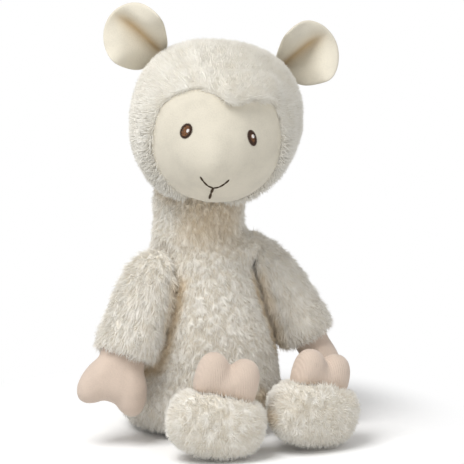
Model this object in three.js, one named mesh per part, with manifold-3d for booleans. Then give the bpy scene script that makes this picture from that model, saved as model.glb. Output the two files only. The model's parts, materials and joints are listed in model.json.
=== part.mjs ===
// A seated plush llama of fur fabric and velour, in millimetres. It faces -Y, its left is +X,
// and the origin is the middle of the flat patch that it sits on.
import * as THREE from "three";
import { mergeVertices } from "three/addons/utils/BufferGeometryUtils.js";
import Module from "manifold-3d";

const wasm = await Module();
wasm.setup();

// Cloth
const FUR_WALL = 5;
const VELOUR_WALL = 2.4;
const SEAM_GAP = 0.4;
const FLOOR_FLAT = 0.5;
const TURN_PLAY = 1.2;

// Facets round and along a form: the torso and head, the limbs, the ears, and the small pieces
const LARGE = [20, 12];
const MEDIUM = [14, 10];
const CREASED = [20, 10];
const SMALL = [10, 8];

// How far a stuffed pad fills its box: 1 is an oval, less is squarer
const PAD_FULLNESS = 0.8;

// Torso: radii of the pile at four heights, and the domed neck that carries the head
const SEAT_RADIUS = 40;
const HIP_RADIUS = 60;
const HIP_HEIGHT = 34;
const CHEST_RADIUS = 46;
const CHEST_HEIGHT = 96;
const SHOULDER_RADIUS = 33.5;
const SHOULDER_HEIGHT = 131;
const NECK_RADIUS = 34;
const NECK_HEIGHT = 158;
const NECK_DIP = 15;
const NECK_HOLE_RADIUS = NECK_RADIUS * 0.44;
const NECK_BALL_RADIUS = NECK_RADIUS * 0.59;
const SEAT_BAG_RADIUS = 33;
const SEAT_BAG_HEIGHT = 24;

// Head, measured in its own frame from the middle of the neck dome
const HEAD_HALF = new THREE.Vector3(61, 56, 58);
const HEAD_RISE = 60;
const HEAD_FORWARD = 12;
const HEAD_SIDE = 5;
const HEAD_YAW = -27;
const HEAD_ROLL = 6;
const HEAD_PITCH = 7.5;
const CROWN_FULLNESS = 0.06;
const JAW_FULLNESS = 0.05;
const FORELOCK_OUT = 7;
const FORELOCK_HALF = 24;

// Face
const FACE_HALF_WIDTH = 42;
const FACE_TOP = 32;
const FACE_BOTTOM = -51;
const FACE_SINK = 2.5;
const FRINGE_DROP = 5;
const RIGHT_FRINGE_SQUARENESS = 0.65;
const LEFT_FRINGE_SQUARENESS = 0.6;
const FACE_DOME = 5;
const MUZZLE_OUT = 11;
const MUZZLE_HEIGHT = -22;
const MUZZLE_HALF = 24;

// Embroidery
const EYE_SPACING = 43;
const EYE_HEIGHT = 3.4;
const EYE_TALL = 12;
const RIGHT_EYE_WIDE = 9;
const LEFT_EYE_WIDE = 7.6;
const EYE_PROUD = 1.3;
const EYE_TILT = 12;
const GLINT_SIZE = 2.4;
const MOUTH_HEIGHT = -32;
const MOUTH_WIDE = 17.4;
const MOUTH_RISE = 7;
const MOUTH_STEM = 9.5;
const THREAD_RADIUS = 0.75;

// Ears
const RIGHT_EAR_LENGTH = 39;
const LEFT_EAR_LENGTH = 36;
const EAR_HALF_WIDTH = 22;
const EAR_ROOT_FULLNESS = 0.5;
const EAR_LAYER = 3;
const EAR_SEAM_GAP = SEAM_GAP * 1.6;
const EAR_FOLD = 19;
const EAR_DISH = 5;
const EAR_RISE = 42;
const EAR_BACK = 16;
const RIGHT_EAR_LEAN = 39;
const LEFT_EAR_LEAN = 47;

// Arms
const ARM_HEIGHT = 134;
const ARM_LENGTH = 78;
const ARM_TOP_RADIUS = 21;
const CUFF_RADIUS = 25;
const ARM_THICKNESS = 0.86;
const ARM_STAND_OFF = 0.42;
const RIGHT_ARM_TURN = -73;
const LEFT_ARM_TURN = 65;
const RIGHT_ARM_LEAN = 25;
const LEFT_ARM_LEAN = 28;
const WRIST_RADIUS = 16;
const HAND_LENGTH = 40;
const HAND_LOBE_RADIUS = 12.5;
const HAND_LOBE_SPREAD = 30;
const HAND_NOTCH = 10;
const RIGHT_HAND_TWIST = 46;
const LEFT_HAND_TWIST = 0;

// Legs
const HINGE_HEIGHT = 27;
const LEG_RADIUS = 22;
const RIGHT_LEG_TURN = -22;
const LEFT_LEG_TURN = 20;
const RIGHT_LEG_LENGTH = 34;
const LEFT_LEG_LENGTH = 42;
const RIGHT_FOOT_ROLL = 14;
const LEFT_FOOT_ROLL = 16;
const RIGHT_FOOT_YAW = 0;
const LEFT_FOOT_YAW = -17;
const FOOT_HALF = new THREE.Vector3(33.5, 20.5, 25);
const TOE_HALF = new THREE.Vector3(11, 11, 18);
const TOE_SPACING = 21;
const TOE_CLEFT = 9;
const RIGHT_TOE_RISE = 45;
const LEFT_TOE_RISE = 41;
const HEEL_BAG_RADIUS = 12;

// Tail
const TAIL_LENGTH = 36;
const TAIL_RADIUS = 12;
const TAIL_HEIGHT = 46;
const TAIL_DROOP = 40;

const COLOURS = {
  fur: 0xe2dccd,
  hood: 0xe6e3da,
  velour: 0xded7c6,
  hoof: 0xe2d2c2,
  dark_thread: 0x42301f,
  white_thread: 0xf4f1ea,
  fibre: 0xf0efec,
  pellet_bag: 0xcfc9bd,
};

const radians = THREE.MathUtils.degToRad;

// A geometry as a solid that can be cut
function solidOf(geometry) {
  const bare = new THREE.BufferGeometry();
  const faces = geometry.index ? geometry.toNonIndexed() : geometry;
  bare.setAttribute("position", faces.getAttribute("position"));
  const merged = mergeVertices(bare, 1e-3);
  const corners = merged.index.array;
  const kept = [];
  for (let i = 0; i < corners.length; i += 3) {
    const [a, b, c] = corners.slice(i, i + 3);
    if (a !== b && b !== c && c !== a) kept.push(a, b, c);
  }
  return new wasm.Manifold(new wasm.Mesh({
    numProp: 3,
    vertProperties: merged.getAttribute("position").array,
    triVerts: new Uint32Array(kept),
  }));
}

// A cut solid as a geometry again
function geometryOf(solid) {
  const { vertProperties, triVerts } = solid.getMesh();
  const geometry = new THREE.BufferGeometry();
  geometry.setAttribute("position", new THREE.BufferAttribute(vertProperties, 3));
  geometry.setIndex(new THREE.BufferAttribute(triVerts, 1));
  geometry.computeVertexNormals();
  return geometry;
}

function addPiece(group, name, solid, slot) {
  const material = new THREE.MeshStandardMaterial({ color: COLOURS[slot], roughness: 0.95 });
  const mesh = new THREE.Mesh(geometryOf(solid), material);
  mesh.name = name;
  group.add(mesh);
}

// Moves every corner of a geometry by a rule
function reshape(geometry, rule) {
  const corners = geometry.getAttribute("position");
  const corner = new THREE.Vector3();
  for (let i = 0; i < corners.count; i += 1) {
    corner.fromBufferAttribute(corners, i);
    rule(corner);
    corners.setXYZ(i, corner.x, corner.y, corner.z);
  }
  return geometry;
}

// An oval ball with its poles on Z
function oval(half, [sides, rings]) {
  const ball = new THREE.SphereGeometry(1, sides, rings).rotateX(Math.PI / 2);
  return ball.scale(half.x, half.y, half.z);
}

// An oval ball drawn out towards the corners of its box, as a stuffed pad is
function pad(half, facets) {
  return reshape(oval(new THREE.Vector3(1, 1, 1), facets), (corner) => {
    corner.fromArray(corner.toArray().map((part) => Math.sign(part) * Math.abs(part) ** PAD_FULLNESS));
    corner.multiply(half);
  });
}

// A round form turned about Z from a list of [radius, height], both ends on the axis
function turned(outline, sides) {
  const points = outline.map(([radius, height]) => new THREE.Vector2(radius, height));
  return new THREE.LatheGeometry(points, sides).rotateX(Math.PI / 2);
}

// Moves an outline outward by an offset, square to itself
function offsetOutline(outline, offset) {
  const last = outline.length - 1;
  return outline.map(([radius, height], i) => {
    const before = outline[Math.max(i - 1, 0)];
    const after = outline[Math.min(i + 1, last)];
    const along = new THREE.Vector2(after[0] - before[0], after[1] - before[1]).normalize();
    if (i === 0) return [0, height - offset];
    if (i === last) return [0, height + offset];
    return [Math.max(radius + along.y * offset, 0.5), height - along.x * offset];
  });
}

// A smooth outline through a few [radius, height] marks
function smoothOutline(marks, steps) {
  const curve = new THREE.SplineCurve(marks.map(([radius, height]) => new THREE.Vector2(radius, height)));
  return curve.getPoints(steps).map((point) => [Math.max(point.x, 0), point.y]);
}

function place(solid, position, rotation = new THREE.Euler()) {
  const turn = new THREE.Quaternion().setFromEuler(rotation);
  const matrix = new THREE.Matrix4().compose(position, turn, new THREE.Vector3(1, 1, 1));
  return solid.transform(matrix.elements);
}

function ball(radius, position, facets) {
  const half = new THREE.Vector3(radius, radius, radius);
  return place(solidOf(oval(half, facets)), position);
}

// Torso
const neckCentre = new THREE.Vector3(0, 0, NECK_HEIGHT);

function torsoOutline() {
  const dip = radians(-NECK_DIP);
  const waist = [NECK_RADIUS * Math.cos(dip), NECK_HEIGHT + NECK_RADIUS * Math.sin(dip)];
  const sides = smoothOutline([
    [SEAT_RADIUS, 0],
    [THREE.MathUtils.lerp(SEAT_RADIUS, HIP_RADIUS, 0.72), HIP_HEIGHT * 0.2],
    [HIP_RADIUS, HIP_HEIGHT],
    [CHEST_RADIUS, CHEST_HEIGHT],
    [SHOULDER_RADIUS, SHOULDER_HEIGHT],
    waist,
  ], LARGE[1] / 2);
  const dome = [];
  const steps = LARGE[1] / 2;
  for (let step = 1; step <= steps; step += 1) {
    const angle = THREE.MathUtils.lerp(dip, Math.PI / 2, step / steps);
    dome.push([NECK_RADIUS * Math.cos(angle), NECK_HEIGHT + NECK_RADIUS * Math.sin(angle)]);
  }
  dome[dome.length - 1][0] = 0;
  return [[0, 0], ...sides, ...dome];
}

function torsoForm(offset) {
  return solidOf(turned(offsetOutline(torsoOutline(), offset), LARGE[0]));
}

function torsoRadiusAt(height) {
  const outline = torsoOutline();
  const above = outline.findIndex(([radius, level]) => radius > 0 && level > height);
  const [lowRadius, low] = outline[above - 1];
  const [highRadius, high] = outline[above];
  return THREE.MathUtils.mapLinear(height, low, high, lowRadius, highRadius);
}

function makeTorso(llama) {
  const inside = torsoForm(-FUR_WALL);
  const neckHole = place(
    solidOf(new THREE.CylinderGeometry(NECK_HOLE_RADIUS, NECK_HOLE_RADIUS, NECK_RADIUS, LARGE[0])),
    new THREE.Vector3(0, 0, NECK_HEIGHT + NECK_RADIUS),
    new THREE.Euler(Math.PI / 2, 0, 0),
  );
  addPiece(llama, "torso_fur", torsoForm(0).subtract(inside).subtract(neckHole), "fur");

  const bagFloor = FUR_WALL + SEAM_GAP;
  const bagOutline = (offset) => offsetOutline([
    [0, bagFloor],
    [SEAT_BAG_RADIUS * 0.86, bagFloor],
    [SEAT_BAG_RADIUS, bagFloor + SEAT_BAG_HEIGHT * 0.4],
    [SEAT_BAG_RADIUS * 0.8, bagFloor + SEAT_BAG_HEIGHT * 0.85],
    [0, bagFloor + SEAT_BAG_HEIGHT],
  ], offset);
  addPiece(llama, "seat_pellet_bag", solidOf(turned(bagOutline(0), MEDIUM[0])), "pellet_bag");

  const stuffing = torsoForm(-FUR_WALL - SEAM_GAP)
    .subtract(solidOf(turned(bagOutline(SEAM_GAP), MEDIUM[0])))
    .subtract(ball(NECK_BALL_RADIUS + TURN_PLAY, neckCentre, MEDIUM))
    .subtract(neckHole);
  addPiece(llama, "torso_stuffing", stuffing, "fibre");
}

// Head: the hood, the face in it, and the stuffing behind both
const headCentre = new THREE.Vector3(HEAD_SIDE, -HEAD_FORWARD, HEAD_RISE);

function bump(value, half) {
  return Math.exp(-((value / half) ** 2));
}

function headHalf(offset) {
  return HEAD_HALF.clone().addScalar(offset);
}

// How much fuller than an oval the hood is: at its upper corners and right jaw, and slimmer at the left jaw
function hoodFullness(x, z) {
  const slant = 2 * (x / HEAD_HALF.x) * (z / HEAD_HALF.z);
  const jaw = slant > 0 ? JAW_FULLNESS : -JAW_FULLNESS;
  return 1 + (z > 0 ? CROWN_FULLNESS : jaw) * slant ** 2;
}

function hoodForm(offset) {
  const lock = new THREE.Vector3(HEAD_HALF.x * 0.25, -HEAD_HALF.y * 0.72, HEAD_HALF.z * 0.62);
  const shape = reshape(oval(headHalf(offset), LARGE), (corner) => {
    corner.multiplyScalar(hoodFullness(corner.x, corner.z));
    const lift = FORELOCK_OUT * bump(corner.distanceTo(lock), FORELOCK_HALF);
    corner.addScaledVector(new THREE.Vector3(0, -0.9, 0.3), lift);
  });
  return solidOf(shape);
}

function faceRelief(x, z) {
  const middle = (FACE_TOP + FACE_BOTTOM) / 2;
  const dome = FACE_DOME * bump(Math.hypot(x, z - middle), FACE_HALF_WIDTH * 0.8);
  return dome + MUZZLE_OUT * bump(Math.hypot(x, z - MUZZLE_HEIGHT), MUZZLE_HALF);
}

function faceForm(offset) {
  const shape = reshape(oval(headHalf(offset - FACE_SINK), LARGE), (corner) => {
    const front = THREE.MathUtils.smoothstep(-corner.y, 0, HEAD_HALF.y * 0.5);
    corner.y -= front * faceRelief(corner.x, corner.z);
  });
  return solidOf(shape);
}

function faceDepth(x, z) {
  const half = headHalf(-FACE_SINK);
  return -half.y * Math.sqrt(1 - (x / half.x) ** 2 - (z / half.z) ** 2) - faceRelief(x, z);
}

// The region of the face seen from the front, as a block that reaches forward from the head's middle.
// The forelock hangs over its upper left corner.
function faceBlock(offset) {
  const middle = (FACE_TOP + FACE_BOTTOM) / 2;
  const halfHeight = (FACE_TOP - FACE_BOTTOM) / 2 + offset;
  const halfWidth = FACE_HALF_WIDTH + offset;
  const outline = [];
  const steps = 2 * LARGE[0];
  for (let step = 0; step < steps; step += 1) {
    const angle = 2 * Math.PI * step / steps;
    const x = halfWidth * Math.cos(angle);
    const level = Math.sin(angle);
    const squareness = x > 0 ? LEFT_FRINGE_SQUARENESS : RIGHT_FRINGE_SQUARENESS;
    const height = level > 0 ? level ** squareness : level;
    const begun = THREE.MathUtils.smoothstep(x, -halfWidth * 0.45, halfWidth * 0.15);
    const ended = THREE.MathUtils.smoothstep(x, halfWidth * 0.4, halfWidth * 0.9);
    const drop = FRINGE_DROP * Math.max(level, 0) * begun * (1 - ended);
    outline.push(new THREE.Vector2(x, middle + halfHeight * height - drop));
  }
  const block = new THREE.ExtrudeGeometry(new THREE.Shape(outline), {
    depth: 2 * HEAD_HALF.y, bevelEnabled: false,
  });
  return solidOf(block.rotateX(Math.PI / 2));
}

function makeHead(head) {
  const seat = ball(NECK_RADIUS + TURN_PLAY, headCentre.clone().negate(), LARGE);
  const hood = hoodForm(0)
    .subtract(hoodForm(-FUR_WALL))
    .subtract(faceBlock(SEAM_GAP))
    .subtract(seat);
  const face = faceForm(0).subtract(faceForm(-VELOUR_WALL)).intersect(faceBlock(0)).subtract(seat);
  const stuffing = hoodForm(-FUR_WALL - SEAM_GAP)
    .subtract(faceBlock(SEAM_GAP))
    .add(faceForm(-VELOUR_WALL - SEAM_GAP).intersect(faceBlock(-SEAM_GAP)))
    .add(solidOf(oval(headHalf(-2 * FUR_WALL - FACE_SINK), LARGE)))
    .subtract(seat);
  addPiece(head, "head_hood", hood, "hood");
  addPiece(head, "face_panel", face, "velour");
  addPiece(head, "head_stuffing", stuffing, "fibre");
}

function makeEye(head, side, wide) {
  const name = side > 0 ? "left" : "right";
  const x = side * EYE_SPACING / 2;
  const middle = new THREE.Vector3(x, faceDepth(x, EYE_HEIGHT), EYE_HEIGHT);
  const slope = Math.atan2(faceDepth(x + 1, EYE_HEIGHT) - faceDepth(x - 1, EYE_HEIGHT), 2);
  const lean = new THREE.Euler(0, radians(-side * EYE_TILT), slope, "ZYX");
  const form = (offset) => place(
    solidOf(oval(new THREE.Vector3(wide / 2 + offset, EYE_PROUD + offset, EYE_TALL / 2 + offset), SMALL)),
    middle,
    lean,
  );
  addPiece(head, `${name}_eye`, form(0).subtract(faceForm(SEAM_GAP)), "dark_thread");

  const shine = new THREE.Vector3(wide * 0.12, -EYE_PROUD, EYE_TALL * 0.14).applyEuler(lean).add(middle);
  const half = new THREE.Vector3(GLINT_SIZE / 2, 0.9, GLINT_SIZE / 2);
  const glint = place(solidOf(oval(half, [8, 6])), shine, lean).subtract(form(SEAM_GAP));
  addPiece(head, `${name}_eye_glint`, glint, "white_thread");
}

function threadAlong(points) {
  const proud = THREAD_RADIUS + SEAM_GAP;
  const curve = new THREE.CatmullRomCurve3(
    points.map(([x, z]) => new THREE.Vector3(x, faceDepth(x, z) - proud, z)),
  );
  const round = new THREE.Shape().absarc(0, 0, THREAD_RADIUS, 0, 2 * Math.PI);
  return solidOf(new THREE.ExtrudeGeometry(round, { extrudePath: curve, steps: 8, curveSegments: 3 }));
}

function makeMouth(head) {
  const half = MOUTH_WIDE / 2;
  const smile = threadAlong([
    [-half, MOUTH_HEIGHT + MOUTH_RISE],
    [-half * 0.55, MOUTH_HEIGHT + MOUTH_RISE * 0.3],
    [0, MOUTH_HEIGHT],
    [half * 0.6, MOUTH_HEIGHT + MOUTH_RISE * 0.25],
    [half, MOUTH_HEIGHT + MOUTH_RISE],
  ]);
  const stem = threadAlong([
    [0, MOUTH_HEIGHT],
    [-0.6, MOUTH_HEIGHT - MOUTH_STEM / 2],
    [-0.4, MOUTH_HEIGHT - MOUTH_STEM],
  ]);
  addPiece(head, "mouth_stitching", smile.add(stem).subtract(faceForm(SEAM_GAP / 2)), "dark_thread");
}

// One cloth layer of an ear, in the ear's own frame: root at the origin, tip on +Z, hollow of the cup on -Y
function earLayer(length, front) {
  const disc = oval(new THREE.Vector3(EAR_HALF_WIDTH, 1, length / 2), CREASED);
  return solidOf(reshape(disc, (corner) => {
    const along = corner.z / length + 0.5;
    const below = Math.min(2 * along - 1, 0);
    corner.x *= Math.sqrt(1 + EAR_ROOT_FULLNESS * below ** 2);
    const out = EAR_LAYER * Math.sqrt(Math.max(front ? -corner.y : corner.y, 0)) + EAR_SEAM_GAP;
    const across = Math.abs(corner.x) / EAR_HALF_WIDTH;
    const pinch = THREE.MathUtils.smoothstep(along, 0, 0.4) * (1 - THREE.MathUtils.smoothstep(along, 0.4, 1));
    const fold = EAR_FOLD * across * pinch;
    const dish = EAR_DISH * (across ** 2 + along ** 4);
    corner.y = (front ? -out : out) - fold - dish;
    corner.z += length / 2;
  }));
}

function makeEar(head, side, length, lean) {
  const name = side > 0 ? "left" : "right";
  const rise = radians(EAR_RISE);
  const section = Math.sqrt(1 - (EAR_BACK / HEAD_HALF.y) ** 2);
  const oval = section * HEAD_HALF.x * HEAD_HALF.z
    / Math.hypot(HEAD_HALF.z * Math.cos(rise), HEAD_HALF.x * Math.sin(rise));
  const out = oval * hoodFullness(oval * Math.cos(rise), oval * Math.sin(rise));
  const ear = new THREE.Group();
  ear.name = `${name}_ear`;
  const reach = out + EAR_LAYER / 2 + SEAM_GAP;
  ear.position.set(side * reach * Math.cos(rise), EAR_BACK, reach * Math.sin(rise));
  ear.rotation.set(0, side * (Math.PI / 2 - radians(lean)), 0);
  addPiece(ear, `${name}_ear_back`, earLayer(length, false), "velour");
  addPiece(ear, `${name}_ear_lining`, earLayer(length, true), "velour");
  head.add(ear);
}

// A limb's frame: outward from the torso is -Y, and the seam that it swings on is the X axis
function limbFrame(name, turn, height) {
  const frame = new THREE.Group();
  frame.name = name;
  const out = torsoRadiusAt(height) + SEAM_GAP;
  frame.position.set(Math.sin(radians(turn)) * out, -Math.cos(radians(turn)) * out, height);
  frame.rotation.z = radians(turn);
  return frame;
}

function torsoIn(frame, offset) {
  frame.updateMatrix();
  return torsoForm(offset).transform(frame.matrix.clone().invert().elements);
}

// Where the arm's own axis begins, in its frame
function armTop() {
  return new THREE.Vector3(0, -ARM_TOP_RADIUS * ARM_THICKNESS * ARM_STAND_OFF, -ARM_TOP_RADIUS * 0.2);
}

function armForm(lean, offset) {
  const outline = offsetOutline(smoothOutline([
    [0, 0],
    [ARM_TOP_RADIUS * 0.65, -ARM_TOP_RADIUS * 0.3],
    [ARM_TOP_RADIUS, -ARM_LENGTH * 0.3],
    [CUFF_RADIUS * 0.94, -ARM_LENGTH * 0.68],
    [CUFF_RADIUS, -ARM_LENGTH * 0.93],
    [CUFF_RADIUS * 0.8, -ARM_LENGTH],
    [0, -ARM_LENGTH],
  ].reverse(), MEDIUM[1]), offset);
  const shape = turned(outline, MEDIUM[0]).scale(1, ARM_THICKNESS, 1);
  return place(solidOf(shape), armTop(), new THREE.Euler(-radians(lean), 0, 0));
}

function handForm(lean, twist, offset) {
  const tip = -HAND_LENGTH + HAND_LOBE_RADIUS;
  const lobe = (side) => {
    const reach = HAND_LENGTH + FUR_WALL;
    const half = new THREE.Vector3(HAND_LOBE_RADIUS + offset, HAND_LOBE_RADIUS + offset, reach / 2 + offset);
    const angle = Math.atan2(side * HAND_LOBE_SPREAD / 2, -tip);
    const turn = new THREE.Euler(0, angle, 0);
    const middle = new THREE.Vector3(0, 0, FUR_WALL - reach / 2).applyEuler(turn);
    return place(solidOf(oval(half, SMALL)), middle, turn);
  };
  const wristHalf = new THREE.Vector3(WRIST_RADIUS, HAND_LOBE_RADIUS, HAND_LENGTH * 0.42).addScalar(offset);
  const palmReach = (HAND_LENGTH - HAND_NOTCH) / 2;
  const palmHalf = new THREE.Vector3(WRIST_RADIUS, HAND_LOBE_RADIUS, palmReach).addScalar(offset);
  const palm = solidOf(pad(palmHalf, SMALL)).translate([0, 0, -palmReach]);
  const hand = lobe(-1).add(lobe(1)).add(palm).add(solidOf(oval(wristHalf, SMALL)));
  const slope = new THREE.Euler(-radians(lean), 0, 0);
  const wrist = new THREE.Vector3(0, 0, -ARM_LENGTH).applyEuler(slope).add(armTop());
  return place(place(hand, new THREE.Vector3(), new THREE.Euler(0, 0, radians(twist))), wrist, slope);
}

function makeArm(llama, side, turn, lean, twist) {
  const name = side > 0 ? "left" : "right";
  const arm = limbFrame(`${name}_arm`, turn, ARM_HEIGHT);
  const hand = handForm(lean, twist, 0);
  const clear = torsoIn(arm, SEAM_GAP);
  const sleeve = armForm(lean, 0)
    .subtract(armForm(lean, -FUR_WALL))
    .subtract(handForm(lean, twist, SEAM_GAP))
    .subtract(clear);
  const hoof = hand.subtract(armForm(lean, -FUR_WALL)).subtract(clear);
  const filling = armForm(lean, -FUR_WALL - SEAM_GAP).subtract(torsoIn(arm, FUR_WALL));
  addPiece(arm, `${name}_arm_fur`, sleeve, "fur");
  addPiece(arm, `${name}_hand_hoof`, hoof, "hoof");
  addPiece(arm, `${name}_arm_stuffing`, filling, "fibre");
  llama.add(arm);
}

// The leg lies outward from its hip; its foot stands on the floor, rolled about the leg and turned about Z
function footFrame({ length, roll, yaw }) {
  const lowest = Math.hypot(FOOT_HALF.z * Math.cos(radians(roll)), FOOT_HALF.x * Math.sin(radians(roll)));
  const middle = new THREE.Vector3(0, -length, lowest - FLOOR_FLAT - HINGE_HEIGHT);
  return [middle, new THREE.Euler(0, radians(roll), radians(yaw), "ZYX")];
}

function legForm(leg, offset) {
  const { length } = leg;
  const shaft = turned(offsetOutline(smoothOutline([
    [0, -length],
    [LEG_RADIUS * 0.8, -length * 0.98],
    [LEG_RADIUS, -length * 0.8],
    [LEG_RADIUS * 0.86, -length * 0.45],
    [LEG_RADIUS * 0.4, -length * 0.14],
    [0, 0],
  ], SMALL[1]), offset), MEDIUM[0]);
  const along = place(solidOf(shaft), new THREE.Vector3(), new THREE.Euler(-Math.PI / 2, 0, 0));
  const foot = solidOf(pad(FOOT_HALF.clone().addScalar(offset), MEDIUM));
  return along.add(place(foot, ...footFrame(leg)));
}

function toesForm(leg, offset) {
  const half = TOE_HALF.clone().addScalar(offset);
  const toe = (side, drop) => solidOf(pad(half, SMALL)).translate([
    side * TOE_SPACING / 2,
    FOOT_HALF.y * 0.12,
    leg.rise - drop - TOE_HALF.z,
  ]);
  return place(toe(-1, 0).add(toe(1, 0)).add(toe(0, TOE_CLEFT)), ...footFrame(leg));
}

function makeLeg(llama, side, turn, leg) {
  const name = side > 0 ? "left" : "right";
  const frame = limbFrame(`${name}_leg`, turn, HINGE_HEIGHT);
  const span = 2 * (leg.length + 2 * FOOT_HALF.x);
  const floor = solidOf(new THREE.BoxGeometry(span, span, span)).translate([0, 0, -HINGE_HEIGHT - span / 2]);
  const fur = legForm(leg, 0)
    .subtract(legForm(leg, -FUR_WALL))
    .subtract(toesForm(leg, SEAM_GAP))
    .subtract(torsoIn(frame, SEAM_GAP))
    .subtract(floor);
  const toes = toesForm(leg, 0).subtract(legForm(leg, -FUR_WALL));
  const inner = legForm(leg, -FUR_WALL - SEAM_GAP).subtract(torsoIn(frame, FUR_WALL));
  const bagMiddle = new THREE.Vector3(0, -leg.length, FUR_WALL + HEEL_BAG_RADIUS * 0.8 - HINGE_HEIGHT);
  const bag = ball(HEEL_BAG_RADIUS, bagMiddle, SMALL).intersect(inner);
  const filling = inner.subtract(ball(HEEL_BAG_RADIUS + SEAM_GAP, bagMiddle, SMALL));
  addPiece(frame, `${name}_leg_fur`, fur, "fur");
  addPiece(frame, `${name}_toe_hoof`, toes, "hoof");
  addPiece(frame, `${name}_leg_stuffing`, filling, "fibre");
  addPiece(frame, `${name}_heel_pellet_bag`, bag, "pellet_bag");
  llama.add(frame);
}

function makeTail(llama) {
  const tail = limbFrame("tail", 180, TAIL_HEIGHT);
  const form = (offset) => place(solidOf(turned(offsetOutline(smoothOutline([
    [0, -TAIL_LENGTH],
    [TAIL_RADIUS * 0.7, -TAIL_LENGTH * 0.94],
    [TAIL_RADIUS, -TAIL_LENGTH * 0.65],
    [TAIL_RADIUS * 0.5, -TAIL_LENGTH * 0.2],
    [0, 0],
  ], SMALL[1]), offset), SMALL[0])), new THREE.Vector3(), new THREE.Euler(radians(TAIL_DROOP - 90), 0, 0));
  const clear = torsoIn(tail, SEAM_GAP);
  addPiece(tail, "tail_fur", form(0).subtract(clear), "fur");
  llama.add(tail);
}

const llama = new THREE.Group();
makeTorso(llama);

const neck = new THREE.Group();
neck.position.copy(neckCentre);
addPiece(neck, "neck_ball", ball(NECK_BALL_RADIUS, new THREE.Vector3(), MEDIUM), "fibre");
llama.add(neck);

const headTurn = new THREE.Group();
headTurn.rotation.set(radians(HEAD_PITCH), radians(HEAD_ROLL), radians(HEAD_YAW), "ZYX");
neck.add(headTurn);
const head = new THREE.Group();
head.position.copy(headCentre);
headTurn.add(head);
makeHead(head);
makeEye(head, -1, RIGHT_EYE_WIDE);
makeEye(head, 1, LEFT_EYE_WIDE);
makeMouth(head);
makeEar(head, -1, RIGHT_EAR_LENGTH, RIGHT_EAR_LEAN);
makeEar(head, 1, LEFT_EAR_LENGTH, LEFT_EAR_LEAN);

makeArm(llama, -1, RIGHT_ARM_TURN, RIGHT_ARM_LEAN, RIGHT_HAND_TWIST);
makeArm(llama, 1, LEFT_ARM_TURN, LEFT_ARM_LEAN, LEFT_HAND_TWIST);
makeLeg(llama, -1, RIGHT_LEG_TURN, {
  length: RIGHT_LEG_LENGTH, roll: RIGHT_FOOT_ROLL, yaw: RIGHT_FOOT_YAW, rise: RIGHT_TOE_RISE,
});
makeLeg(llama, 1, LEFT_LEG_TURN, {
  length: LEFT_LEG_LENGTH, roll: LEFT_FOOT_ROLL, yaw: LEFT_FOOT_YAW, rise: LEFT_TOE_RISE,
});
makeTail(llama);

export default llama;
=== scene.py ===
"""Dresses a seated plush llama: stuffed fur coats, velour face, ears and hoofs, thread, and the stage."""

import json
import math
from dataclasses import dataclass, replace
from functools import partial

import bmesh
import bpy
import numpy as np
from bpy.props import FloatProperty, FloatVectorProperty, IntProperty, PointerProperty
from mathutils import Matrix, Vector
from mathutils.bvhtree import BVHTree


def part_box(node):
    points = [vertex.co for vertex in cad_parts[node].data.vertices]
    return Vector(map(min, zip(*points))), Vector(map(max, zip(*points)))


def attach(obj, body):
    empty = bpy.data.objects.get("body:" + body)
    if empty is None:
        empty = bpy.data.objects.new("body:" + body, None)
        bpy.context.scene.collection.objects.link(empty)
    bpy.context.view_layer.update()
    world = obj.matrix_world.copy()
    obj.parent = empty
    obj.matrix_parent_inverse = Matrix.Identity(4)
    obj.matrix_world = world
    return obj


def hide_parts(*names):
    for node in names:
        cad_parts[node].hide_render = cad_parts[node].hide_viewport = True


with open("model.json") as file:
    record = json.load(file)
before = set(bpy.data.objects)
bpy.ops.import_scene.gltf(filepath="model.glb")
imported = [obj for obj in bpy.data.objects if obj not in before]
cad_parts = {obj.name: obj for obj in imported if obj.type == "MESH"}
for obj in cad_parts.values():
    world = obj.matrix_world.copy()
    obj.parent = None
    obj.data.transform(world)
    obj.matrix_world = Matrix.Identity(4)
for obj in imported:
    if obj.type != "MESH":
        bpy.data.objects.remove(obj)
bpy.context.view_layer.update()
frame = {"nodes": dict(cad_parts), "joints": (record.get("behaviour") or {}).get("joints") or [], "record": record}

bl_info = {
    "name": "Plush Llama",
    "version": (1, 0, 0),
    "blender": (4, 5, 0),
    "location": "View3D > Sidebar > Plush",
    "description": "Dresses the frame of a seated plush llama in fur, velour and thread",
    "category": "Mesh",
}

MM = 0.001
SIDES = ("right", "left")
TUFT_MAP = "OFBake"
# Attribute holding how much painted shade a cloth takes: in creases, folds, under the head and under the chin
PAINTED_SHADE = "pressed"
WHITE = (1, 1, 1)
MERGE = 0.02 * MM
FLOOR_CLEAR = 0.2 * MM

# Skins; a span, here and below, is the pair of values that a share eases between
STUFFING_PRESSURE = 4
STUFFING_FRAMES = 20
SKIN_LEVELS = 2
THIN_LEVELS = 3
THIN_SWELL = 0.3 * MM
THIN_PASSES = 4
THIN_CORNER = math.radians(60)

# Tufts, and what they take from the lumps below them; near their roots and low in the lumps their colour is
# darker, as painted shade
TUFT_SPACING = 0.75 * MM
TUFT_PACKING = 2.5
TUFT_LENGTHS = (0.65, 1.15)
TUFT_SHADES = (0.04, 0.93)
DARK_TUFT = (0.94, 0.935, 0.92)
MIDDLE_TUFT = (0.98, 0.978, 0.972)
CRIMP_GAIN = 5
RUFFLE_GAIN = 4
LUMP_SPAN = (0.25, 0.75)
# Where tuft corners sit on the root-to-tip ramp: lower near roots and low in lumps, so darker there as painted
# shade
RANK_ALONG = 0.6
RANK_ON_LUMP = 0.25
RANK_AT_ROOT = 0.15

# Velour and thread
SPECULAR = 0.2
MOTTLE_SIZE = 1 / 0.06
RIB_SCALE = 0.31
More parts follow.
